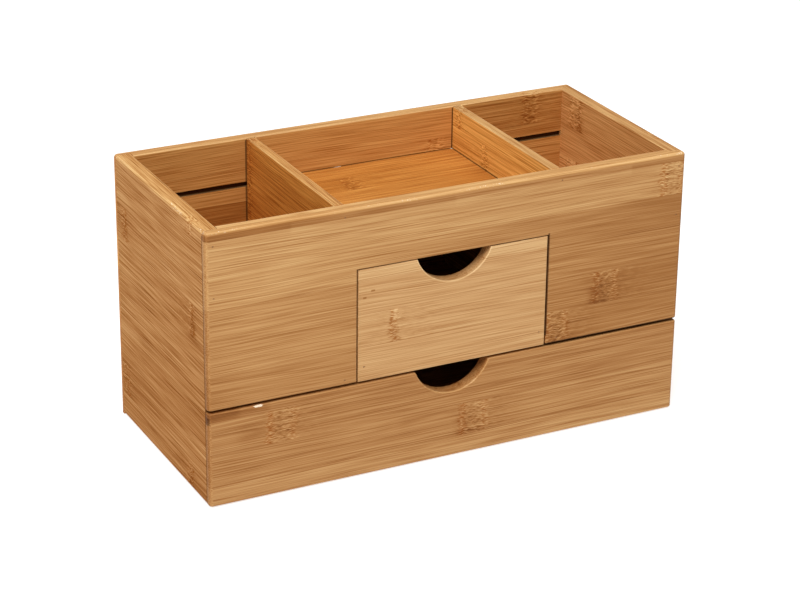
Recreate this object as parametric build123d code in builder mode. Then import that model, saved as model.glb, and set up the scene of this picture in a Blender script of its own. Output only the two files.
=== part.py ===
from build123d import *
import os

# Desktop drawer organizer, made of laminated bamboo boards.
# Sizes are in millimetres. +X is the viewer's right, -Y the front that the drawers come out of and +Z up.
# The origin is the middle of the underside.

os.makedirs("parts", exist_ok=True)

# Carcass: the box without its drawers
carcass_width = 330.0
carcass_depth = 150.0
carcass_height = 180.0
side_thickness = 10.0
back_thickness = 10.0
front_thickness = 9.0
# What the corner rabbets leave of the front and back boards, in front of the side panels' ends
corner_lip = 4.5

# Boards inside the carcass
divider_thickness = 6.5
divider_spacing = 149.2
shelf_thickness = 6.0
tray_floor_thickness = 3.3
# From the carcass's rim down to the tray floor
tray_depth = 29.5
# Height of the large drawer's bay, up to the deck and to the front panel's lower edge
bay_height = 65.0

# Opening for the small drawer, cut up into the front panel from its lower edge
opening_width = 133.2
opening_height = 74.9

# Grooves that hold the tray floor and the drawer bottoms
groove_depth = 2.5
groove_play = 0.1

# Drawers
drawer_wall = 8.0
drawer_bottom_thickness = 3.5
# From a drawer side's lower edge up to the drawer's bottom board
drawer_bottom_inset = 3.0
small_drawer_side_height = 56.0
large_drawer_side_height = 48.0
drawer_side_play = 1.0
drawer_running_gap = 0.3
drawer_stop_gap = 0.3
drawer_back_space = 10.0
small_drawer_top_gap = 0.7
large_drawer_top_gap = 1.8
large_drawer_floor_gap = 0.5

# Finger notches: a circle that cuts the top edge of each drawer front
notch_radius = 27.0
notch_depth = 18.0

# Rounded edges
rim_radius = 2.5
inner_rim_radius = 0.8
front_lower_radius = 1.0
drawer_edge_radius = 1.2
notch_corner_radius = 2.0
arris_radius = 0.5
# Small bevel round the side panels' ends, which leaves a fine line where the lips meet them
end_bevel = 0.3

# Pins: thin headless nails, set just under the face that they are driven into
pin_radius = 0.5
pin_length = 18.0
pin_set = 0.4
pin_play = 0.05
pin_point = 1.5
pin_tip_radius = 0.15
# How far the upper corner pins and the divider pins lie below the rim, and the lowest ones above the floor
upper_pin_drop = 9.0
middle_pin_drop = 42.0
divider_pin_drop = 5.0
lowest_pin_rise = 30.0
# From a drawer board's upper or lower edge to its pins
drawer_pin_inset = 9.0
drawer_front_pin_rise = 3.2

# Places worked out from the sizes
half_width = carcass_width / 2
front_face = -carcass_depth / 2
back_face = carcass_depth / 2
inner_half_width = half_width - side_thickness
front_inner = front_face + front_thickness
back_inner = back_face - back_thickness
inner_depth = back_inner - front_inner
side_front_end = front_face + corner_lip
side_back_end = back_face - corner_lip
side_middle = half_width - side_thickness / 2
divider_middle = divider_spacing / 2
deck_top = bay_height + shelf_thickness
tray_top = carcass_height - tray_depth
tray_underside = tray_top - tray_floor_thickness
tray_width = divider_spacing - divider_thickness
drawer_back_face = back_inner - drawer_back_space
drawer_front_rear = front_inner - drawer_stop_gap

small_half_width = opening_width / 2 - drawer_side_play
small_front_top = bay_height + opening_height - small_drawer_top_gap
small_lower_edge = deck_top + drawer_running_gap
large_half_width = inner_half_width - drawer_side_play
large_front_top = bay_height - large_drawer_top_gap
large_lower_edge = shelf_thickness + drawer_running_gap

upper_pin_heights = (carcass_height - upper_pin_drop, carcass_height - middle_pin_drop)

hands = (("left", -1), ("right", 1))


def front_plane(y):
    """A plane across the object at depth y, drawn on as seen from the front, X right and Z up."""
    return Plane.XZ.offset(-y)


def pin_seats(places, outward):
    """One plane for each pin, at the face that it is driven into, looking out of that face."""
    return [Plane(origin=place, z_dir=outward) for place in places]


def bore_for_pins(seats):
    """Cut the holes of the pins out of the board under way, each as deep as its pin and a little more."""
    with Locations(*seats):
        Cylinder(
            pin_radius + pin_play,
            pin_set + pin_length + pin_play,
            align=(Align.CENTER, Align.CENTER, Align.MAX),
            mode=Mode.SUBTRACT,
        )


def drive_pins(seats):
    """Make the pins: a round shank that ends in a blunt point, set under the face by pin_set."""
    shank = pin_length - pin_point
    with Locations(*[seat.offset(-pin_set) for seat in seats]):
        Cylinder(pin_radius, shank, align=(Align.CENTER, Align.CENTER, Align.MAX))
    with Locations(*[seat.offset(-pin_set - shank) for seat in seats]):
        Cone(pin_tip_radius, pin_radius, pin_point, align=(Align.CENTER, Align.CENTER, Align.MAX))


def lipped_plan(outer_face, inward, thickness, tongue_half_width, lip):
    """Plan of a board with rabbeted ends: a thin lip of full width and a thicker tongue between the sides."""
    with Locations((0, outer_face + inward * lip / 2)):
        Rectangle(carcass_width, lip)
    with Locations((0, outer_face + inward * thickness / 2)):
        Rectangle(2 * tongue_half_width, thickness)


def tray_groove(inner_face, into_board):
    """Cut the groove of the tray floor along the inner face of the front or back panel."""
    with BuildSketch(front_plane(inner_face)) as groove:
        with Locations((0, (tray_underside + tray_top) / 2)):
            Rectangle(carcass_width, tray_floor_thickness + 2 * groove_play)
    extrude(groove.sketch, amount=into_board * groove_depth, mode=Mode.SUBTRACT)


def finger_notch(top):
    """Cut the round finger notch into a drawer front whose top edge is at this height."""
    with BuildSketch(front_plane(front_face)) as notch:
        with Locations((0, top + notch_radius - notch_depth)):
            Circle(notch_radius)
    extrude(notch.sketch, amount=-front_thickness, mode=Mode.SUBTRACT)


def bottom_groove(half_width_inside, lower_edge):
    """Cut the groove of a drawer's bottom board into the rear of its front."""
    with BuildSketch(front_plane(drawer_front_rear)) as groove:
        with Locations((0, lower_edge + drawer_bottom_inset + drawer_bottom_thickness / 2)):
            Rectangle(
                2 * (half_width_inside + groove_depth),
                drawer_bottom_thickness + 2 * groove_play,
            )
    extrude(groove.sketch, amount=groove_depth, mode=Mode.SUBTRACT)


def notch_corners(front):
    """The two short edges where a finger notch meets the top edge of its drawer front."""
    return front.edges().filter_by(Axis.Y).filter_by_position(
        Axis.X, -notch_radius, notch_radius
    ).group_by(Axis.Z)[-1]


# Pin places, shared by the boards that each pin goes through
front_pin_seats = pin_seats(
    [(hand * side_middle, front_face, z) for _, hand in hands for z in upper_pin_heights]
    + [(hand * divider_middle, front_face, carcass_height - divider_pin_drop) for _, hand in hands]
    + [(hand * divider_middle, front_face, bay_height + shelf_thickness / 2) for _, hand in hands],
    (0, -1, 0),
)
back_pin_seats = pin_seats(
    [
        (hand * side_middle, back_face, z)
        for _, hand in hands
        for z in (*upper_pin_heights, lowest_pin_rise)
    ]
    + [(hand * divider_middle, back_face, carcass_height - divider_pin_drop) for _, hand in hands]
    + [
        (hand * divider_middle, back_face, z)
        for _, hand in hands
        for z in (bay_height + shelf_thickness / 2, shelf_thickness / 2)
    ],
    (0, 1, 0),
)
small_front_pin_seats = pin_seats(
    [
        (hand * (small_half_width - drawer_wall / 2), front_face, small_lower_edge + drawer_front_pin_rise)
        for _, hand in hands
    ],
    (0, -1, 0),
)


def drawer_back_pin_seats(half_outer, lower_edge, height):
    """Seats of the pins through a drawer's sides into the ends of its back, two on each side."""
    seats = []
    for _, hand in hands:
        places = [
            (hand * half_outer, drawer_back_face - drawer_wall / 2, z)
            for z in (lower_edge + drawer_pin_inset, lower_edge + height - drawer_pin_inset)
        ]
        seats += pin_seats(places, (hand, 0, 0))
    return seats


# Front panel: rabbeted ends, groove for the tray floor, and the small drawer's opening
with BuildPart() as front_panel:
    with BuildSketch(Plane.XY.offset(bay_height)):
        lipped_plan(front_face, 1, front_thickness, inner_half_width, corner_lip)
    extrude(amount=carcass_height - bay_height)
    with BuildSketch(front_plane(front_face)):
        with Locations((0, bay_height + opening_height / 2)):
            Rectangle(opening_width, opening_height)
    extrude(amount=-front_thickness, mode=Mode.SUBTRACT)
    tray_groove(front_inner, 1)
    outline = front_panel.faces().sort_by(Axis.Y)[0].edges()
    ends = outline.filter_by(Axis.Z).group_by(Axis.X)
    top_ends = front_panel.edges().filter_by(Axis.Y).group_by(Axis.Z)[-1].group_by(Axis.X)
    fillet(
        outline.filter_by(Axis.X).sort_by(Axis.Z)[-1:] + ends[0] + ends[-1] + top_ends[0] + top_ends[-1],
        radius=rim_radius,
    )
    inner_top = front_panel.faces().sort_by(Axis.Z)[-1].edges().filter_by(Axis.X).sort_by(Axis.Y)[-1]
    fillet(inner_top, radius=inner_rim_radius)
    lower_edges = front_panel.faces().sort_by(Axis.Y)[0].edges().filter_by(Axis.X).group_by(Axis.Z)[0]
    fillet(lower_edges, radius=front_lower_radius)
    opening_edges = front_panel.faces().sort_by(Axis.Y)[0].edges().filter_by_position(
        Axis.X, -opening_width / 2, opening_width / 2
    ).filter_by_position(Axis.Z, bay_height, bay_height + opening_height)
    fillet(opening_edges, radius=arris_radius)
    bore_for_pins(front_pin_seats)
front_panel.part.label = "front_panel"
export_step(front_panel.part, "parts/front_panel.step")

# Back panel: rabbeted ends and the groove for the tray floor
with BuildPart() as back_panel:
    with BuildSketch(Plane.XY):
        lipped_plan(back_face, -1, back_thickness, inner_half_width, corner_lip)
    extrude(amount=carcass_height)
    tray_groove(back_inner, -1)
    outline = back_panel.faces().sort_by(Axis.Y)[-1].edges()
    top_ends = back_panel.edges().filter_by(Axis.Y).group_by(Axis.Z)[-1].group_by(Axis.X)
    fillet(outline + top_ends[0] + top_ends[-1], radius=rim_radius)
    inner_top = back_panel.faces().sort_by(Axis.Z)[-1].edges().filter_by(Axis.X).sort_by(Axis.Y)[0]
    fillet(inner_top, radius=inner_rim_radius)
    bore_for_pins(back_pin_seats)
back_panel.part.label = "back_panel"
export_step(back_panel.part, "parts/back_panel.step")

# Side panels: plain boards between the lips of the front and back panels
for side, hand in hands:
    with BuildPart() as side_panel:
        with BuildSketch(Plane.XY):
            with Locations((hand * side_middle, (side_front_end + side_back_end) / 2)):
                Rectangle(side_thickness, side_back_end - side_front_end)
        extrude(amount=carcass_height)
        long_edges = side_panel.edges().filter_by(Axis.Y).sort_by(lambda edge: hand * edge.center().X)
        fillet(long_edges[-2:], radius=rim_radius)
        inner_top = side_panel.faces().sort_by(Axis.Z)[-1].edges().filter_by(Axis.Y)
        fillet(inner_top.sort_by(lambda edge: hand * edge.center().X)[0], radius=inner_rim_radius)
        end_faces = side_panel.faces().sort_by(Axis.Y)
        chamfer(end_faces[0].edges() + end_faces[-1].edges(), length=end_bevel)
        bore_for_pins(front_pin_seats)
        bore_for_pins(back_pin_seats)
    side_panel.part.label = f"{side}_side_panel"
    export_step(side_panel.part, f"parts/{side}_side_panel.step")

# Dividers: they stand on the deck between the front and back panels
for side, hand in hands:
    with BuildPart() as divider:
        with BuildSketch(Plane.XY.offset(deck_top)):
            with Locations((hand * divider_middle, (front_inner + back_inner) / 2)):
                Rectangle(divider_thickness, inner_depth)
        extrude(amount=carcass_height - deck_top)
        fillet(divider.faces().sort_by(Axis.Z)[-1].edges().filter_by(Axis.Y), radius=inner_rim_radius)
        bore_for_pins(front_pin_seats)
        bore_for_pins(back_pin_seats)
    divider.part.label = f"{side}_divider"
    export_step(divider.part, f"parts/{side}_divider.step")

# Tray floor: between the dividers, its front and back edges in the grooves
with BuildPart() as tray_floor:
    with BuildSketch(Plane.XY.offset(tray_underside)):
        with Locations((0, (front_inner + back_inner) / 2)):
            Rectangle(tray_width - 2 * groove_play, inner_depth + 2 * (groove_depth - groove_play))
    extrude(amount=tray_floor_thickness)
tray_floor.part.label = "tray_floor"
export_step(tray_floor.part, "parts/tray_floor.step")

# Deck under the compartments and the small drawer, and the base under the large drawer
for shelf_name, underside in (("deck_panel", bay_height), ("base_panel", 0)):
    with BuildPart() as shelf:
        with BuildSketch(Plane.XY.offset(underside)):
            with Locations((0, (front_inner + back_inner) / 2)):
                Rectangle(2 * inner_half_width, inner_depth)
        extrude(amount=shelf_thickness)
        bore_for_pins(front_pin_seats)
        bore_for_pins(back_pin_seats)
    shelf.part.label = shelf_name
    export_step(shelf.part, f"parts/{shelf_name}.step")

# Pins of the carcass
with BuildPart() as front_panel_pins:
    drive_pins(front_pin_seats)
front_panel_pins.part.label = "front_panel_pins"
export_step(front_panel_pins.part, "parts/front_panel_pins.step")

with BuildPart() as back_panel_pins:
    drive_pins(back_pin_seats)
back_panel_pins.part.label = "back_panel_pins"
export_step(back_panel_pins.part, "parts/back_panel_pins.step")

# Small drawer front: fits in the opening and hides the deck's front edge
with BuildPart() as small_drawer_front:
    with BuildSketch(front_plane(front_face)):
        with Locations((0, (bay_height + small_front_top) / 2)):
            Rectangle(2 * small_half_width, small_front_top - bay_height)
    extrude(amount=front_face - drawer_front_rear)
    finger_notch(small_front_top)
    fillet(notch_corners(small_drawer_front), radius=arris_radius)
    bottom_groove(small_half_width - drawer_wall, small_lower_edge)
    fillet(small_drawer_front.faces().sort_by(Axis.Y)[0].edges(), radius=arris_radius)
    bore_for_pins(small_front_pin_seats)
small_drawer_front.part.label = "small_drawer_front"
export_step(small_drawer_front.part, "parts/small_drawer_front.step")

# Large drawer front: as wide as the carcass, its rabbeted ends lap over the side panels
with BuildPart() as large_drawer_front:
    with BuildSketch(Plane.XY.offset(large_drawer_floor_gap)):
        lipped_plan(
            front_face,
            1,
            front_thickness - drawer_stop_gap,
            large_half_width,
            corner_lip - drawer_stop_gap,
        )
    extrude(amount=large_front_top - large_drawer_floor_gap)
    finger_notch(large_front_top)
    fillet(notch_corners(large_drawer_front), radius=notch_corner_radius)
    bottom_groove(large_half_width - drawer_wall, large_lower_edge)
    outline = large_drawer_front.faces().sort_by(Axis.Y)[0].edges()
    ends = outline.filter_by(Axis.Z).group_by(Axis.X)
    fillet(ends[0] + ends[-1], radius=rim_radius)
    outline = large_drawer_front.faces().sort_by(Axis.Y)[0].edges()
    fillet(outline.filter_by(Axis.Z, reverse=True), radius=drawer_edge_radius)
large_drawer_front.part.label = "large_drawer_front"
export_step(large_drawer_front.part, "parts/large_drawer_front.step")


def build_drawer_box(name, half_outer, lower_edge, height, front_seats):
    """Sides, back, bottom and pins of a drawer, behind its front board."""
    half_inner = half_outer - drawer_wall
    bottom_level = lower_edge + drawer_bottom_inset
    back_inner_face = drawer_back_face - drawer_wall
    back_seats = drawer_back_pin_seats(half_outer, lower_edge, height)
    middle = (drawer_front_rear + drawer_back_face) / 2
    box_middle = (drawer_front_rear + back_inner_face) / 2
    groove_height = drawer_bottom_thickness + 2 * groove_play
    groove_middle = bottom_level + drawer_bottom_thickness / 2

    for side, hand in hands:
        with BuildPart() as drawer_side:
            with BuildSketch(Plane.XY.offset(lower_edge)):
                with Locations((hand * (half_outer - drawer_wall / 2), middle)):
                    Rectangle(drawer_wall, drawer_back_face - drawer_front_rear)
            extrude(amount=height)
            with BuildSketch(front_plane(drawer_front_rear)):
                with Locations((hand * (half_inner + groove_depth / 2), groove_middle)):
                    Rectangle(groove_depth, groove_height)
            extrude(amount=drawer_front_rear - back_inner_face - groove_depth, mode=Mode.SUBTRACT)
            top_edges = drawer_side.faces().sort_by(Axis.Z)[-1].edges().filter_by(Axis.Y)
            fillet(top_edges, radius=inner_rim_radius)
            bore_for_pins(back_seats + front_seats)
        drawer_side.part.label = f"{name}_{side}_side"
        export_step(drawer_side.part, f"parts/{name}_{side}_side.step")

    with BuildPart() as drawer_back:
        with BuildSketch(Plane.XY.offset(lower_edge)):
            with Locations((0, drawer_back_face - drawer_wall / 2)):
                Rectangle(2 * half_inner, drawer_wall)
        extrude(amount=height)
        with BuildSketch(front_plane(back_inner_face)):
            with Locations((0, groove_middle)):
                Rectangle(2 * half_inner, groove_height)
        extrude(amount=-groove_depth, mode=Mode.SUBTRACT)
        top_edges = drawer_back.faces().sort_by(Axis.Z)[-1].edges().filter_by(Axis.X)
        fillet(top_edges, radius=inner_rim_radius)
        bore_for_pins(back_seats)
    drawer_back.part.label = f"{name}_back"
    export_step(drawer_back.part, f"parts/{name}_back.step")

    # The bottom board reaches into all four grooves
    reach = groove_depth - groove_play
    with BuildPart() as drawer_bottom:
        with BuildSketch(Plane.XY.offset(bottom_level)):
            with Locations((0, box_middle)):
                Rectangle(2 * (half_inner + reach), back_inner_face - drawer_front_rear + 2 * reach)
        extrude(amount=drawer_bottom_thickness)
    drawer_bottom.part.label = f"{name}_bottom"
    export_step(drawer_bottom.part, f"parts/{name}_bottom.step")

    with BuildPart() as drawer_back_pins:
        drive_pins(back_seats)
    drawer_back_pins.part.label = f"{name}_back_pins"
    export_step(drawer_back_pins.part, f"parts/{name}_back_pins.step")


build_drawer_box(
    "small_drawer", small_half_width, small_lower_edge, small_drawer_side_height, small_front_pin_seats
)
build_drawer_box("large_drawer", large_half_width, large_lower_edge, large_drawer_side_height, [])

# Pins through the small drawer's front into its sides
with BuildPart() as small_drawer_front_pins:
    drive_pins(small_front_pin_seats)
small_drawer_front_pins.part.label = "small_drawer_front_pins"
export_step(small_drawer_front_pins.part, "parts/small_drawer_front_pins.step")
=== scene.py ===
# %% [markdown]
# # A bamboo desktop drawer organizer
# The object is a box of laminated bamboo board, 330 mm wide, 150 mm deep and 180 mm high. It has two open
# compartments and a shallow tray at the top, a small drawer in the front board and a large drawer below.
# Its boards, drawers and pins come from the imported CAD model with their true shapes, so this lesson adds what
# the eye sees: the strips and fibres of bamboo, its knots, its lacquer, and soft studio light.

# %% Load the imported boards, drawers and pins
import math
import bpy
import numpy as np
from mathutils import Matrix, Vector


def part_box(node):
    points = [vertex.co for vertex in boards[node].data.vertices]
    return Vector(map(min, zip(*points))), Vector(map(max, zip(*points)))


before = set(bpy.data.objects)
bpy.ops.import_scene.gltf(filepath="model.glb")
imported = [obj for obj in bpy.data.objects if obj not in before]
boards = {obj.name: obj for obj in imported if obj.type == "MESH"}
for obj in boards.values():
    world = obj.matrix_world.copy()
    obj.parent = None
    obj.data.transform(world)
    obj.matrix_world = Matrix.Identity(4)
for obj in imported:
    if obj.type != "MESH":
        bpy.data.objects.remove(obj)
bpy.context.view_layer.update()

# %% [markdown]
# ## The camera
# The photograph looks down at the front left corner from about a metre and a half away, with a long lens that
# keeps the upright edges nearly parallel. The camera could be placed by eye and turned until it looks right.
# Here it is placed by three angles round a point inside the box, because each of them can then be corrected
# alone: how far it stands to the left, how high it stands, and how far it leans.

# %% Place the camera
to_the_left, above, lean = (math.radians(angle) for angle in (26.931, 23.447, 0.711))
box_middle = np.array([0.0, 0.0, 0.090])
distance, aside, upward = 1.62486, 0.00052, -0.01059   # in m
focal_length, sensor = 113.3, 36.0                     # in mm
sight = 60.0                                           # in m, as far as the camera sees

ahead = np.array([math.sin(to_the_left) * math.cos(above), math.cos(to_the_left) * math.cos(above),
                  -math.sin(above)])
level = np.array([math.cos(to_the_left), -math.sin(to_the_left), 0.0])
upright = np.cross(level, ahead)
right_hand = math.cos(lean) * level + math.sin(lean) * upright
top_side = math.cos(lean) * upright - math.sin(lean) * level
stand = box_middle - distance * ahead + aside * right_hand + upward * top_side

lens = bpy.data.cameras.new("studio_camera")
lens.sensor_width, lens.lens, lens.clip_end = sensor, focal_length, sight
camera = bpy.data.objects.new("studio_camera", lens)
bpy.context.scene.collection.objects.link(camera)
turn = Matrix([list(row) for row in zip(right_hand, top_side, -ahead)]).to_4x4()
camera.matrix_world = Matrix.Translation(stand.tolist()) @ turn
bpy.context.scene.camera = camera
print("camera stands at", np.round(stand, 3).tolist(), "m")

# %% [markdown]
# ## The floor and the light
# The picture has a clean white ground and hardly any shadow, which is what a light tent gives. A single lamp
# would draw hard shadows in the compartments. So the sky is a dim even white, a lamp as wide as a table hangs
# over the box and reaches down into it, and a smaller one at the front left makes the front and left boards
# differ in tone. The floor is one flat sheet that glows a little, so that it stays white under the box.

# %% Lay the floor
FLOOR = 24.0            # in m, so wide that its far edge fades out of sight in low views
UNDER_THE_BOX = 0.0002  # in m, so that the box doesn't flicker with the floor


def flat_sheet(width, depth, across=2, along=2):
    """A level sheet: for a and b from -1/2 to 1/2 the point is (a * width, b * depth, 0)."""
    a, b = np.meshgrid(np.linspace(-0.5, 0.5, across), np.linspace(-0.5, 0.5, along), indexing="ij")
    points = np.stack([a * width, b * depth, 0.0 * a], axis=-1).reshape(-1, 3)
    corner = np.arange(across * along).reshape(across, along)
    faces = np.stack([corner[:-1, :-1], corner[1:, :-1], corner[1:, 1:], corner[:-1, 1:]], axis=-1).reshape(-1, 4)
    return points, faces


points, faces = flat_sheet(FLOOR, FLOOR)
floor_mesh = bpy.data.meshes.new("floor")
floor_mesh.from_pydata(points.tolist(), [], faces.tolist())
floor = bpy.data.objects.new("floor", floor_mesh)
floor.location.z = -UNDER_THE_BOX
bpy.context.scene.collection.objects.link(floor)
print("floor:", len(faces), "face")

# %% Hang the lamps and light the sky
def soft_lamp(name, place, aim, size, watts):
    """A square lamp of a given size at a place, turned so that it shines at the aim."""
    lamp = bpy.data.lights.new(name, "AREA")
    lamp.shape, lamp.size, lamp.energy = "SQUARE", size, watts
    holder = bpy.data.objects.new(name, lamp)
    back = np.array(place) - np.array(aim)
    side = np.cross([0.0, 1.0, 0.001], back)
    rows = [side, np.cross(back, side), back]
    turn = Matrix([list(row) for row in zip(*(row / np.linalg.norm(row) for row in rows))]).to_4x4()
    holder.matrix_world = Matrix.Translation(place) @ turn
    bpy.context.scene.collection.objects.link(holder)


soft_lamp("top_lamp", place=(0.2, 0.0, 3.4), aim=(0.2, 0.0, 0.1), size=4.0, watts=80.0)
soft_lamp("key_lamp", place=(-1.25, -1.4, 2.6), aim=(0.0, 0.0, 0.1), size=1.4, watts=78.0)
sky = bpy.data.worlds.new("white_sky")
sky.use_nodes = True
sky.node_tree.nodes["Background"].inputs["Color"].default_value = (1.0, 1.0, 1.0, 1.0)
sky.node_tree.nodes["Background"].inputs["Strength"].default_value = 0.25
bpy.context.scene.world = sky
bpy.context.scene.view_settings.view_transform = "Standard"

# %% [markdown]
# ## Writing materials as sums
# A material is a net of nodes. Wiring each one by hand hides what is being worked out, so one small class
# stands for an output of a node: two of them can be added or multiplied, and that adds the Math node. Every
# other kind of node comes from its one method, node.

# %% A wire that does sums
class Wire:
    """An output socket of a material. a + b adds a Math node set to ADD, with a and b as its two values."""

    def __init__(self, tree, socket):
        self.tree, self.socket = tree, socket

    def node(self, kind, settings=(), values=(), out=0):
        """Adds a node of a kind, makes its settings, then gives its sockets their values or links."""
        made = self.tree.nodes.new("ShaderNode" + kind)
        for setting, value in dict(settings).items():
            if setting == "stops":
                ramp = made.color_ramp
                while len(ramp.elements) < len(value):
                    ramp.elements.new(1.0)
                for element, (place, colour) in zip(ramp.elements, value):
                    element.position, element.color = place, colour
            elif setting == "between":
                made.color_ramp.interpolation = value
            else:
                setattr(made, setting, value)
        for name, value in dict(values).items():
            if isinstance(value, Wire):
                self.tree.links.new(value.socket, made.inputs[name])
            else:
                made.inputs[name].default_value = value
        if isinstance(out, tuple):
            return tuple(Wire(self.tree, made.outputs[one]) for one in out)
        return Wire(self.tree, made.outputs[out])

    def sum(self, operation, *values):
        """Adds a Math node for an operation, with the values in their order."""
        return self.node("Math", {"operation": operation}, dict(enumerate(values)))

    def __add__(self, other): return self.sum("ADD", self, other)
    def __radd__(self, other): return self.sum("ADD", other, self)
    def __sub__(self, other): return self.sum("SUBTRACT", self, other)
    def __rsub__(self, other): return self.sum("SUBTRACT", other, self)
    def __mul__(self, other): return self.sum("MULTIPLY", self, other)
    def __rmul__(self, other): return self.sum("MULTIPLY", other, self)
    def __truediv__(self, other): return self.sum("DIVIDE", self, other)
    def __mod__(self, other): return self.sum("FLOORED_MODULO", self, other)
    def __abs__(self): return self.sum("ABSOLUTE", self)
    def floor(self): return self.sum("FLOOR", self)
    def least(self, other): return self.sum("MINIMUM", self, other)
    def most(self, other): return self.sum("MAXIMUM", self, other)

    def ease(self, start, end):
        """0 before start, 1 after end, and a smooth step between them. With start above end it falls instead."""
        ends = {"Value": self, "From Min": start, "From Max": end}
        return self.node("MapRange", {"interpolation_type": "SMOOTHSTEP"}, ends)

    def noise(self, x, y, z, detail=2.0, rough=0.5):
        """Soft random values round a half at the point (x, y, z)."""
        point = self.node("CombineXYZ", (), {0: x, 1: y, 2: z})
        return self.node("TexNoise", (), {"Vector": point, "Scale": 1.0, "Detail": detail, "Roughness": rough})

    def tint(self, amount, colour):
        """This colour, with another mixed in by an amount."""
        return self.node("Mix", {"data_type": "RGBA"}, {0: amount, 6: self, 7: colour}, out=2)


def paint(red, green, blue):
    """A colour as a picture editor shows it, 0 to 255, turned into the linear light that a shader needs."""
    part = np.array([red, green, blue]) / 255.0
    linear = np.where(part <= 0.04045, part / 12.92, ((part + 0.055) / 1.055) ** 2.4)
    return (*linear.tolist(), 1.0)


print("honey brown in linear light:", np.round(paint(200, 150, 95), 3).tolist())

# %% [markdown]
# ## Boards glued up from strips
# Each board is pressed from flat strips of bamboo about 22 mm wide, in two layers. Every strip has its own
# tone, grows a little lighter or darker along its length, and may show a knot, the ring where the cane was
# closed. A picture of a board could be painted, but a table of strips is shorter and can be read: one row for
# each strip, with its tone, its lean in tone, where its knot lies and how dark the knot is.

# %% Turn a table of strips into a ramp
KNOT_SPAN = 500.0   # a knot lies from -250 to 250 mm along its board, and the ramp keeps that as 0 to 1
NO_KNOT = 245.0     # a place past the end of every board


def strip_table(rows):
    """A ramp with one flat step a strip: red is the tone, green the lean, blue the knot's place, alpha its dark."""
    stops = []
    for number, (tone, leaning, knot, dark) in enumerate(rows):
        place = NO_KNOT if knot is None else knot
        stops.append((number / len(rows), (tone, 0.5 + leaning, place / KNOT_SPAN + 0.5, dark)))
    return stops


def plain_rows(seed, count):
    """Rows for a board that is hardly seen: tones and knots drawn at random, the same at every run."""
    draw = np.random.RandomState(seed)
    tones = 0.5 + draw.uniform(-0.12, 0.12, count)
    leans = draw.uniform(-0.05, 0.05, count)
    knots = draw.uniform(-230, 230, count)
    return list(zip(tones.tolist(), leans.tolist(), knots.tolist(), draw.uniform(0.2, 0.8, count).tolist()))


print("a plain board:", [round(row[0], 2) for row in plain_rows(1, 9)])

# %% [markdown]
# ## A board in its own terms
# Bamboo looks the same whichever way its board is turned. What matters is how far a point lies along the
# fibres, over the strips and deep in the board. That could be worked out anew from X, Y and Z for each part of
# the material. Here a Board names the three once, in millimetres, and every step below adds a few wires to it.

# %% Measure a point of a board
MM = 1000.0


class Board:
    """A point of a board in mm: along its fibres, over its strips and deep in it. faces is the way it faces.
    grain and across are the numbers of the first two axes, 0 to 2."""

    def __init__(self, name, grain, across):
        self.material = bpy.data.materials.new("bamboo_" + name)
        self.material.use_nodes = True
        tree = self.material.node_tree
        self.shader = tree.nodes["Principled BSDF"]
        self.spot = Wire(tree, tree.nodes.new("ShaderNodeTexCoord").outputs["Object"])
        facing = Wire(tree, self.spot.socket.node.outputs["Normal"])
        self.faces = facing.node("SeparateXYZ", (), {0: facing}, out=(0, 1, 2))
        self.spot_mm = self.spot.node("VectorMath", {"operation": "SCALE"}, {0: self.spot, "Scale": MM})
        self.axes = self.spot.node("SeparateXYZ", (), {0: self.spot_mm}, out=(0, 1, 2))
        self.grain, self.through = grain, 3 - grain - across
        self.along, self.over, self.deep = self.axes[grain], self.axes[across], self.axes[self.through]
        self.low, self.high = (np.array(corner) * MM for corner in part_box(name))
        self.noise = self.spot.noise

    def feed(self, socket, wire):
        """Links a wire to a socket of the board's shader."""
        self.spot.tree.links.new(wire.socket, self.shader.inputs[socket])


low, high = (np.array(corner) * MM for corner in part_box("front_panel"))
print("the front panel measures", np.round(high - low, 1).tolist(), "mm")

# %% [markdown]
# ## Which strip a point is in
# The strips lie side by side, and the joint between two of them is a faint dark line. A thick board has a second
# layer at the back, whose strips are shifted, because boards are glued with their joints staggered. Each strip
# could be a mesh of its own, but its number is all that the table needs, and that is the point's distance from
# the lowest strip, divided by a strip's width.

# %% Find the strip
STRIP = 22.0        # the width of a strip, in mm
THIN = 7.0          # a board up to this thickness, in mm, is one layer of strips
BACK_LAYER = 3.5    # how many strips the back layer is shifted by
LEAN_OVER = 50.0    # a strip's tone changes by its lean over this many mm


def find_strip(board, rows, lowest):
    """The strip is the whole part of (over - lowest) / STRIP, and rise is the rest: 0 at its lower edge, 1 at its
    upper one. plain is tone + lean * along / LEAN_OVER."""
    place = (board.over - lowest) / STRIP
    near, far = board.low[board.through], board.high[board.through]
    if far - near > THIN:
        place = place + board.deep.sum("GREATER_THAN", board.deep, (near + far) / 2) * BACK_LAYER
    board.strip = place.floor()
    board.rise = place - board.strip
    board.seam = abs(board.rise - 0.5).ease(0.485, 0.497)
    table, board.dark = board.spot.node("ValToRGB", {"stops": strip_table(rows), "between": "CONSTANT"},
                                        {0: (board.strip % len(rows) + 0.5) / len(rows)}, out=(0, 1))
    tone, leaning, board.knot = board.spot.node("SeparateColor", (), {0: table}, out=(0, 1, 2))
    board.plain = tone + (leaning - 0.5) * board.along / LEAN_OVER


print("strips up the front panel:", math.ceil((high - low)[2] / STRIP))

# %% [markdown]
# ## Knots
# A knot is where the cane was closed by a wall. Planed flat, it shows as a patch of short dashes between two
# dark columns, with a wide soft stain beside it. Each part could be drawn as a shape of its own. Here each one
# is only a distance from the knot's middle, made to fray from fibre to fibre, and eased from 1 to 0.

# %% Find the knot
WANDER, FRAY = 5.0, 7.0   # how far a knot bends in its strip and frays between fibres, in mm


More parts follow.
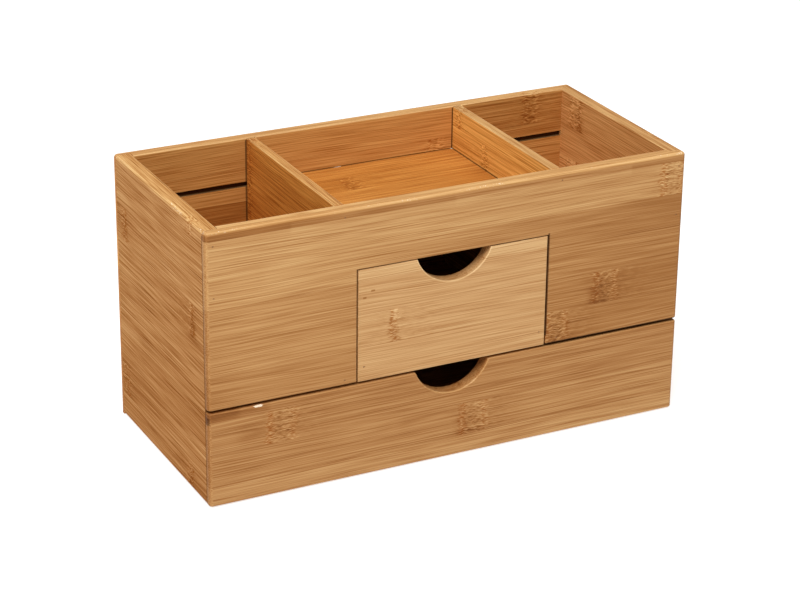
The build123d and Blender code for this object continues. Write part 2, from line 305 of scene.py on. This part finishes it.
def find_knot(board, ridge, seed):
    """Each part is 1 at its place and falls to 0 with the distance from it. ring is the patch, ridge mm wide, edge
    its first column, core both columns, shadow the dark beside the first, and smudge the wide stain."""
    wobble = board.noise(board.along / 30, board.over / 5, board.strip * 3.7 + seed, detail=1)
    fray = board.noise(board.along / 12, board.over / 0.9, board.deep / 0.9 + seed, detail=1)
    from_knot = board.along - (board.knot - 0.5) * KNOT_SPAN + (wobble - 0.5) * WANDER + (fray - 0.5) * FRAY
    reach = 2.0 + ridge / 8
    board.ring = abs(from_knot).ease(ridge / 2 + 6, ridge / 2 - 2)
    board.edge = abs(from_knot + ridge / 2).ease(reach, reach / 4)
    board.core = board.edge.most(abs(from_knot - ridge / 2).ease(reach, reach / 4) * 0.6)
    board.shadow = abs(from_knot + ridge / 2 - 1).ease(reach * 2.5, reach / 2) * board.rise.ease(1.05, 0.3)
    board.smudge = abs(from_knot - 7).ease(36, 5)


print("knots lie within", KNOT_SPAN / 2, "mm of their board's middle and fray by", FRAY, "mm")

# %% [markdown]
# ## Fibres
# Close up, bamboo is a bundle of fibres that run dead straight from one end of the strip to the other. A Wave
# texture would make them too even. Noise stretched a hundred times along the grain gives such streaks, and three
# sizes of it laid over each other give the broad bands, the fibres and the hairs. At a knot the fibres crowd and
# buckle, so there the same noise is read through a wobble.

# %% Run the fibres
BAND, FIBRE, HAIR = 5.0, 0.65, 0.38   # the widths of the three sizes of streak, in mm
LUMP, DASH = 1.7, 0.6                 # the widths of a knot's lumps and dashes, in mm


def run_fibres(board, coarse, seed):
    """Noise of (along / length, across / width, through / width). coarse widens the fibres and the hairs."""
    along, deep, strip = board.along, board.deep, board.strip
    sway = board.noise(along / 160, board.over / 45, strip * 1.3 + seed, detail=1)
    buckle = board.noise(along / 5, board.over / 6, deep / 6 + seed, detail=1)
    line = board.over + (sway - 0.5) * 4 + (board.ring * 2.2 + board.smudge * 0.7) * (buckle - 0.5)
    wide, thin = FIBRE * coarse, HAIR * coarse
    board.bands = board.noise(along / 300 + strip * 5.1, line / BAND, deep / BAND + seed, detail=2, rough=0.6)
    board.fibres = board.noise(along / 100 + strip * 2.3, line / wide, deep / wide + seed, detail=3, rough=0.66)
    board.hairs = board.noise(along / 40, line / thin, deep / thin + seed, detail=1)
    board.lumps = board.noise(along / 6.5, line / LUMP, deep / LUMP + seed, detail=2, rough=0.6)
    board.dashes = board.noise(along / 3, line / DASH, deep / DASH + seed, detail=1)


print("streaks are", BAND, FIBRE, "and", HAIR, "mm wide")

# %% [markdown]
# ## Ends, rims and notches
# On the ends of a board the cut fibres show as dots. The rims were sanded round, and their corners are a little
# worn; these edges are also made paler as a painted highlight, most of all on the band where a rounded rim turns
# from up to the side. The finger notches were cut with a drum: their cut face is painted darker, partly for its
# end grain and partly as painted shade, and their front edge is painted paler as a highlight. All of these
# follow from where a point lies in its board and which way it faces, so no mask has to be painted.

# %% Find the edges
def find_edges(board, notch):
    """x, y and z are the distances to the nearest faces along the axes. Two of them are small near an edge, so
    worn follows the middle one, on what faces up: edge wear and painted highlight in one. rounded
    is the painted highlight on the band of a rounded rim between up and the side. notch is a finger notch's middle X
    and Z and its radius. arris, a painted highlight, is 1 near its front edge, where |distance from the
    notch's middle - radius| and the depth are both small. drum_cut is its cut face, darker for its end grain
    and as painted shade."""
    axes, faces = board.axes, board.faces
    board.cut = abs(faces[board.grain]).ease(0.55, 0.85)
    board.dots = board.noise(board.along / 12, board.over / 0.55, board.deep / 0.55, detail=1)
    half = (board.high - board.low) / 2
    centre = (board.high + board.low) / 2
    x, y, z = (half[k] - abs(axes[k] - centre[k]) for k in range(3))
    corner = x.least(y).most(x.most(y).least(z))
    # painted highlight: the band where a rounded rim turns from up to the side is made paler
    board.rounded = faces[2].ease(0.35, 0.6) * faces[2].ease(0.98, 0.87)
    # edge wear and painted highlight: the edges of what faces up are made paler and get more coat
    board.worn = corner.ease(1.6, 0.4) * faces[2].ease(0.1, 0.5)
    if notch:
        sideways, upwards = axes[0] - notch[0], axes[2] - notch[1]
        off_arc = abs(board.spot.sum("POWER", sideways * sideways + upwards * upwards, 0.5) - notch[2])
        depth = axes[1] - board.low[1]
        # painted highlight on the notch's front edge, and painted shade with end grain on its cut face
        board.arris = off_arc.most(depth).ease(0.9, 0.3)
        board.drum_cut = off_arc.ease(0.6, 0.3) * depth.ease(0.5, 4.0)
        board.worn = board.worn.most(board.arris)
    board.worn = board.worn * board.bands.ease(0.2, 0.55)


# %% [markdown]
# ## How pale a point is
# All of this moves a point along one scale, from scorched to pale. The marks could each be mixed in as a colour
# of its own, but real fibres differ in tone more than in hue, so they are added up as numbers first. Only a few
# patches that are browner than their strip, as under the rims, are taken off at the end.

# %% Add up the tone
def inside(axes, first, last, soft):
    """1 inside the box between two corners and 0 outside it, with a soft margin. The three axes are multiplied."""
    shade = 1.0
    for k in range(3):
        outside = abs(axes[k] - (first[k] + last[k]) / 2)
        reach = (last[k] - first[k]) / 2
        shade = outside.ease(reach + soft, reach - soft) * shade
    return shade


def tone_of(board, vivid, browned, notch, seed):
    """plain + streaks * vivid + the knot's dashes - the dark lines + painted highlight on worn and rounded edges, and
    on the ends the dots instead of streaks. At a notch its front edge gets a painted highlight and its cut face
    painted shade. A dark strip shows weaker streaks than a pale one."""
    fibres, lumps, ring, dark = board.fibres, board.lumps, board.ring, board.dark
    strength = (board.plain * 2.2 - 0.1).most(0.5) * vivid
    streak = ((board.bands - 0.5) * 0.24 + (fibres - 0.5) * 0.75 + (board.hairs - 0.5) * 0.9) * strength
    knotty = ((board.core + ring * 0.8) * (board.dashes - 0.5) * 1.1 - board.edge * (lumps * 0.35 - 0.05) * dark
              + ring * ((lumps - 0.5) * 0.4 + (board.rise - 0.5) * 0.2 * dark)
              + board.smudge * ((lumps - 0.5) * 0.3 - 0.06 * dark) - board.shadow * lumps * 0.2 * dark)
    mark = board.hairs.ease(0.66, 0.78) * 0.12 + board.seam * 0.12
    # worn and rounded make the edges paler: painted highlight, partly edge wear
    tone = (board.plain + streak + knotty - mark + board.worn * 0.05 + board.rounded * 0.07
            + board.cut * ((board.dots - 0.5) * 0.9 - 0.12 - streak * 0.6))
    if notch:
        layers = board.noise(board.axes[0] / 25, board.axes[1] / 0.5, board.axes[2] / 25 + seed, detail=1)
        # the notch's front edge is painted paler as a highlight, and its cut face darker, partly as painted shade
        tone = tone + board.arris * 0.2 + board.drum_cut * ((layers - 0.5) * 0.4 - 0.09)
    for first, last, soft, amount in browned:
        tone = tone - inside(board.axes, first, last, soft) * (fibres * 1.6 + 0.2) * amount
    return tone


print("a strip of tone 0.6 shows its streaks", round(0.6 * 2.2 - 0.1, 2), "times as strong as drawn")

# %% [markdown]
# ## The colour of bamboo
# Steamed bamboo runs from a red brown where it is dark to a straw yellow where it is pale. One colour made
# darker and lighter would look like stained plaster. So five stops round a middle colour shift its hue as well,
# and a board is given only its middle colour, with a second one painted on what faces up: painted light and shade
# that makes its upper faces paler or darker than its sides.

# %% Turn tone into colour
# the brown of dark joint lines, also used as painted shade in the drawer gaps and the tray's groove
SCORCH, KNOT_BROWN = paint(48, 24, 9), paint(178, 102, 42)
# BARE_FIBRE is the colour of painted glints on the rims
BARE_FIBRE, CHIP = paint(244, 232, 208), paint(236, 218, 192)


def shades(red, green, blue):
    """Five stops from scorched to pale round a middle colour. A darker fibre is redder, a paler one more yellow."""
    middle = np.array(paint(red, green, blue)[:3])
    steps = [(0.0, (0.33, 0.205, 0.11)), (0.3, (0.69, 0.56, 0.42)), (0.5, (1.0, 1.0, 1.0)),
             (0.72, (1.24, 1.42, 1.6)), (1.0, (1.5, 1.95, 2.5))]
    return [(place, (*(middle * step).tolist(), 1.0)) for place, step in steps]


def colour_of(board, tone, middle, top, glinting, stains, flecks, seed):
    """The shade for the tone, with the knots' brown, painted glints, dark joint lines, painted shade in gaps and
    grooves and pale chips mixed in over it. What faces up may get a colour of its own, as painted light and shade. A
    chip shows where the length of (point - its place) / its half sizes is under 1."""
    colour = board.spot.node("ValToRGB", {"stops": shades(*middle)}, {0: tone})
    # painted light and shade: what faces up gets its own colour, paler on some boards and darker on others
    if top:
        sanded = board.spot.node("ValToRGB", {"stops": shades(*top)}, {0: tone})
        colour = colour.tint(board.faces[2].ease(0.1, 0.6), sanded)
    colour = colour.tint(board.core * board.dashes.ease(0.6, 0.35) * 0.35, KNOT_BROWN)
    # painted glints: white specks along the painted highlight of the rounded rims
    if glinting:
        sparks = board.noise(board.along / 0.9, board.over / 0.9, board.deep / 0.9 + seed, detail=0).ease(0.64, 0.72)
        patches = board.noise(board.along / 45, seed, 0.0, detail=1).ease(0.5, 0.58)
        colour = colour.tint(board.rounded * sparks * patches * glinting, BARE_FIBRE)
    # dark joint lines, and painted shade in the gaps round the drawers and in the groove
    for first, last, soft, amount in stains:
        colour = colour.tint(inside(board.axes, first, last, soft) * amount, SCORCH)
    for place, size in flecks:
        offset = board.spot.node("VectorMath", {"operation": "SUBTRACT"}, {0: board.spot_mm, 1: place})
        offset = board.spot.node("VectorMath", {"operation": "DIVIDE"}, {0: offset, 1: size})
        reach = board.spot.node("VectorMath", {"operation": "LENGTH"}, {0: offset}, out="Value")
        colour = colour.tint((reach + (board.dashes - 0.5) * 1.6).ease(1.05, 0.85) * 0.9, CHIP)
    return colour


print("stops of a shade:", [round(place, 2) for place, colour in shades(192, 140, 86)])

# %% [markdown]
# ## The bamboo itself
# Clear satin lacquer lies over the fibres. It fills the gaps between them, so the surface is nearly flat, and
# the fibres show as a fine relief and as a change in gloss. A bump is enough for relief this fine. The lacquer
# is the shader's coat, thicker on worn edges, where it was laid on again.

# %% Bamboo board material
LACQUER, COAT = 0.4, 0.3     # the roughness of the lacquered wood and of the coat
RELIEF = 0.00018             # the height of the fibres' relief, in m


def bamboo(name, grain, across, rows, lowest, middle=(192, 140, 86), top=None, seed=0.0, shine=0.03,
           ridge=12.0, vivid=1.0, coarse=1.0, glinting=0.0, browned=(), stains=(), flecks=(), notch=None):
    """Bamboo for one board, whose first strip starts at lowest, in mm. middle is the colour of its faces and top
    that of what faces up, a second colour painted as light and shade, and glinting sets how many painted glints show
    on its rims. A knot is ridge mm wide, vivid strengthens the streaks and coarse widens them. browned and
    stains are boxes, each with two corners, a soft margin and an amount: in the first the fibres are a
    darker brown, and the second are dark joint lines and painted shade over them.
    flecks are pale chips, each with its place and its half sizes."""
    board = Board(name, grain, across)
    find_strip(board, rows, lowest)
    find_knot(board, ridge, seed)
    run_fibres(board, coarse, seed)
    find_edges(board, notch)
    tone = tone_of(board, vivid, browned, notch, seed)
    board.feed("Base Color", colour_of(board, tone, middle, top, glinting, stains, flecks, seed))
    board.feed("Roughness", LACQUER + (0.5 - board.fibres) * 0.3 + board.core * 0.08 + board.cut * 0.15)
    height = (board.fibres * 0.5 + board.hairs * 0.3 + (board.core + board.ring * 0.6) * board.dashes * 1.2
              + board.ring * board.lumps * 0.5 - board.seam * 0.5 + board.cut * board.dots * 0.5)
    board.feed("Normal", board.spot.node("Bump", (), {"Strength": 0.35, "Distance": RELIEF, "Height": height}))
    board.feed("Coat Weight", board.worn * 0.25 + shine * 2.5)
    board.shader.inputs["Specular IOR Level"].default_value = shine
    board.shader.inputs["Coat Roughness"].default_value = COAT
    return board.material


def dress(name, *facts, **more):
    """Gives a board its own bamboo."""
    material = bamboo(name, *facts, **more)
    boards[name].data.materials.clear()
    boards[name].data.materials.append(material)


print("the relief of the fibres is", RELIEF * MM, "mm high")

# %% [markdown]
# ## Dress the boards
# The tables follow the boards that show in the photograph, strip by strip from the lowest up: which strips are
# paler, which way they lighten and where their knots lie. Boards that hardly show get rows drawn at random. The
# joints where two boards meet are glued tight and show as dark hairlines. They are drawn here as thin stains,
# because a real gap that fine would be lost between two pixels. The gaps round the drawers and the groove that
# holds the tray are darkened the same way, as painted shade.

# %% Dress the boards
ALONG_X, ALONG_Y, UP = 0, 1, 2
FAR = 400.0   # past every edge of the box, in mm


def joint_line(axis, place, width=0.5, amount=0.6, top=FAR):
    """A dark hairline across a board: a thin box of shade that runs on in the other two directions."""
    first, last = [-FAR] * 3, [FAR, FAR, top]
    first[axis], last[axis] = place - width, place + width
    return first, last, 0.15, amount


lip_joints = [joint_line(ALONG_Y, -70.5, width=0.7, amount=0.55, top=177.0),
              joint_line(ALONG_Y, 70.5, amount=0.4, top=177.0)]
end_joints = [((-170, -70.9, 60), (-155, -70.0, 177), 0.15, 0.5), ((155, -70.9, 60), (170, -70.0, 177), 0.15, 0.5)]
# painted shade in the gaps: the front panel's lower edge over the large drawer and the right jamb of the small
# drawer's opening
gap_edges = [((-40, -76, 63), (170, -60, 65.8), 0.4, 0.85), ((66, -76, 71), (67.1, -66, 141), 0.2, 0.75)]
dress("front_panel", ALONG_X, UP,
      [(0.42, -0.01, 74, 0.4), (0.435, -0.028, 109, 0.9), (0.47, -0.022, None, 0.5), (0.505, -0.047, None, 0.5),
       (0.60, -0.008, 156, 0.2), (0.42, 0.012, None, 0.5)], 64.4, middle=(176, 128, 78), top=(197, 152, 98),
      seed=1.0, ridge=14.0, vivid=0.8, glinting=0.55, stains=end_joints + gap_edges,
      browned=[((-220, -80, 40), (-150, -70, 150), 20.0, 0.1), ((-190, -80, 171), (-110, -74, 177.5), 1.5, 0.08),
               ((-190, -80, 171), (0, -74, 177.5), 1.5, 0.05), ((125, -80, 171), (190, -74, 177.5), 1.5, 0.08),
               ((-190, -80, 142), (-128, -74, 151), 4.0, 0.07)])
dress("small_drawer_front", ALONG_X, UP,
      [(0.525, 0.0, None, 0.5), (0.53, -0.012, -41, 0.6), (0.52, 0.0, None, 0.4), (0.61, 0.0, None, 0.5)], 65.8,
      middle=(188, 143, 94), seed=2.0, ridge=2.5, vivid=0.7, notch=(0.0, 148.2, 27.0),
      browned=[((-62.4, -80, 119.9), (-60.2, -60, 121.1), 0.3, 0.25),
               ((-57.0, -80, 123.9), (-54.4, -60, 125.1), 0.3, 0.25)])
dress("large_drawer_front", ALONG_X, UP,
      [(0.63, 0.01, None, 0.5), (0.54, 0.015, 16, 0.7), (0.505, 0.0, -117, 0.2), (0.475, 0.0, None, 0.5)], -8.6,
      middle=(167, 118, 70), seed=3.0, ridge=16.0, vivid=0.95, notch=(0.0, 72.2, 27.0),
      browned=[((-200, -80, 57), (-125, -60, 70), 2.5, 0.1), ((-200, -80, 58), (-145, -60, 70), 3.0, 0.12),
               ((-145, -80, 36), (-131, -60, 50), 5.0, 0.06), ((-36, -80, 24), (16, -60, 34), 5.0, 0.07)],
      flecks=[((-132.3, -75.0, 62.6), (3.0, 1.2, 0.8))],
      stains=[((-170, -76, 55.5), (-163.9, -60, 60.5), 0.5, 0.5)])
dress("left_side_panel", ALONG_Y, UP,
      [(0.48, 0.0, -45, 0.8), (0.47, -0.03, 62, 0.3), (0.435, 0.02, None, 0.5), (0.50, 0.035, None, 0.5),
       (0.485, 0.0, None, 0.5), (0.52, 0.02, -52, 1.0), (0.55, -0.02, 58, 0.7), (0.54, 0.02, None, 0.5),
       (0.55, 0.0, -50, 0.1)], -5.0, middle=(173, 121, 73), top=(185, 137, 84), seed=4.0, ridge=5.0, vivid=1.3,
      coarse=1.3, shine=0.0, glinting=0.55, stains=lip_joints,
      browned=[((-168, -72, -8), (-150, -45, 8), 6.0, 0.15)])
dress("right_side_panel", ALONG_Y, UP,
      plain_rows(5, 7) + [(0.43, 0.02, None, 0.5), (0.455, 0.03, 46, 0.8), (0.53, 0.0, None, 0.5)], -19.0,
      middle=(214, 154, 92), top=(183, 136, 84), seed=5.0, coarse=1.1, stains=lip_joints)
dress("back_panel", ALONG_X, UP,
      plain_rows(6, 3) + [(0.53, 0.0, None, 0.5), (0.48, 0.01, None, 0.5), (0.45, -0.01, None, 0.5),
                          (0.47, 0.0, None, 0.5), (0.55, 0.0, 58, 0.4), (0.56, 0.0, 131, 0.5)], -17.0,
      middle=(195, 134, 71), top=(186, 137, 84), seed=6.0, ridge=8.0,
      # the first box makes the back wall darker below Z 137 in the left compartment
      browned=[((-160, 60, 40), (-75, 66.5, 137), 0.3, 0.2), ((-160, 60, 152), (-75, 66.5, 178), 1.0, 0.06),
               ((75, 60, 152), (160, 66.5, 178), 1.0, 0.12)],
      # the first box is painted shade in the tray's groove; the others are joint lines
      stains=[((-156, 65.2, 147.05), (156, 68, 150.65), 0.1, 0.92), ((-78.9, 60, 71), (-77.5, 65.4, 179), 0.2, 0.7),
              ((70.6, 60, 150), (71.9, 65.4, 179), 0.2, 0.85), ((-72, 60, 150), (72, 65.4, 151), 0.2, 0.7)])
dress("left_divider", ALONG_Y, UP,
      plain_rows(7, 3) + [(0.46, 0.0, 62, 0.5), (0.50, 0.01, 62, 0.5), (0.60, 0.01, 62, 0.2)], 61.5,
      middle=(199, 122, 50), top=(176, 122, 67), seed=7.0, ridge=4.0, vivid=1.6,
      stains=[joint_line(ALONG_Y, 65.0)])
dress("right_divider", ALONG_Y, UP,
      plain_rows(8, 4) + [(0.50, 0.0, 20, 0.3), (0.52, 0.0, 57, 0.3)], 57.0, middle=(229, 165, 84),
      top=(184, 137, 84), seed=8.0, ridge=5.0, coarse=1.2,
      stains=[joint_line(ALONG_Y, 65.0), ((70, -66, 150), (71.5, 65, 151.1), 0.2, 0.8)])
dress("tray_floor", ALONG_X, ALONG_Y,
      plain_rows(9, 2) + [(0.40, 0.0, None, 0.5), (0.38, -0.03, None, 0.5), (0.40, 0.0, -19, 0.5),
                          (0.42, 0.0, None, 0.5)], -65.4, middle=(190, 126, 59), seed=9.0, ridge=7.0, vivid=1.5,
      stains=[joint_line(ALONG_X, -71.25), joint_line(ALONG_X, 71.25), joint_line(ALONG_Y, 65.0)],
      browned=[((-50, 24, 140), (-16, 46, 160), 6.0, 0.08)],
      flecks=[((70.8, 64.6, 150.5), (1.2, 1.0, 0.8)), ((-13.3, 64.9, 150.5), (2.8, 0.5, 0.4))])
for number, name in enumerate(["deck_panel", "base_panel", "small_drawer_bottom", "large_drawer_bottom"]):
    dress(name, ALONG_X, ALONG_Y, plain_rows(20 + number, 7), -68.0, seed=20.0 + number)
for number, name in enumerate(["small_drawer_left_side", "small_drawer_right_side", "large_drawer_left_side",
                               "large_drawer_right_side"]):
    dress(name, ALONG_Y, UP, plain_rows(30 + number, 5), 0.0, seed=30.0 + number)
for number, name in enumerate(["small_drawer_back", "large_drawer_back"]):
    dress(name, ALONG_X, UP, plain_rows(40 + number, 5), 0.0, seed=40.0 + number)
print("bamboo materials:", len(bpy.data.materials))

# %% [markdown]
# ## Pins and floor
# The pins are thin headless nails, driven a little below the face, so only dull dots of them show. Bare steel
# would look too bright, because lacquer has run over them: their metal is tinted brown and blotched. The floor
# gets plain white paint that glows.

# %% Paint the pins and the floor
BLOTCHES = 3000.0   # a metre, which is one every third of a millimetre

for name in boards:
    if name.endswith("_pins"):
        steel = bpy.data.materials.new("pin_" + name)
        steel.use_nodes = True
        shader = steel.node_tree.nodes["Principled BSDF"]
        spot = Wire(steel.node_tree, steel.node_tree.nodes.new("ShaderNodeTexCoord").outputs["Object"])
        x, y, z = spot.node("SeparateXYZ", (), {0: spot}, out=(0, 1, 2))
        stain = spot.noise(x * BLOTCHES, y * BLOTCHES, z * BLOTCHES)
        colour = spot.node("ValToRGB", {"stops": [(0.3, paint(122, 86, 56)), (0.7, paint(168, 128, 88))]}, {0: stain})
        steel.node_tree.links.new(colour.socket, shader.inputs["Base Color"])
        steel.node_tree.links.new((0.35 + stain * 0.3).socket, shader.inputs["Roughness"])
        shader.inputs["Metallic"].default_value = 0.5
        boards[name].data.materials.clear()
        boards[name].data.materials.append(steel)

white = bpy.data.materials.new("white_sheet")
white.use_nodes = True
shader = white.node_tree.nodes["Principled BSDF"]
shader.inputs["Base Color"].default_value = (0.55, 0.55, 0.55, 1.0)
shader.inputs["Emission Color"].default_value = (1.0, 1.0, 1.0, 1.0)
shader.inputs["Emission Strength"].default_value = 0.6
shader.inputs["Roughness"].default_value = 0.9
floor_mesh.materials.append(white)
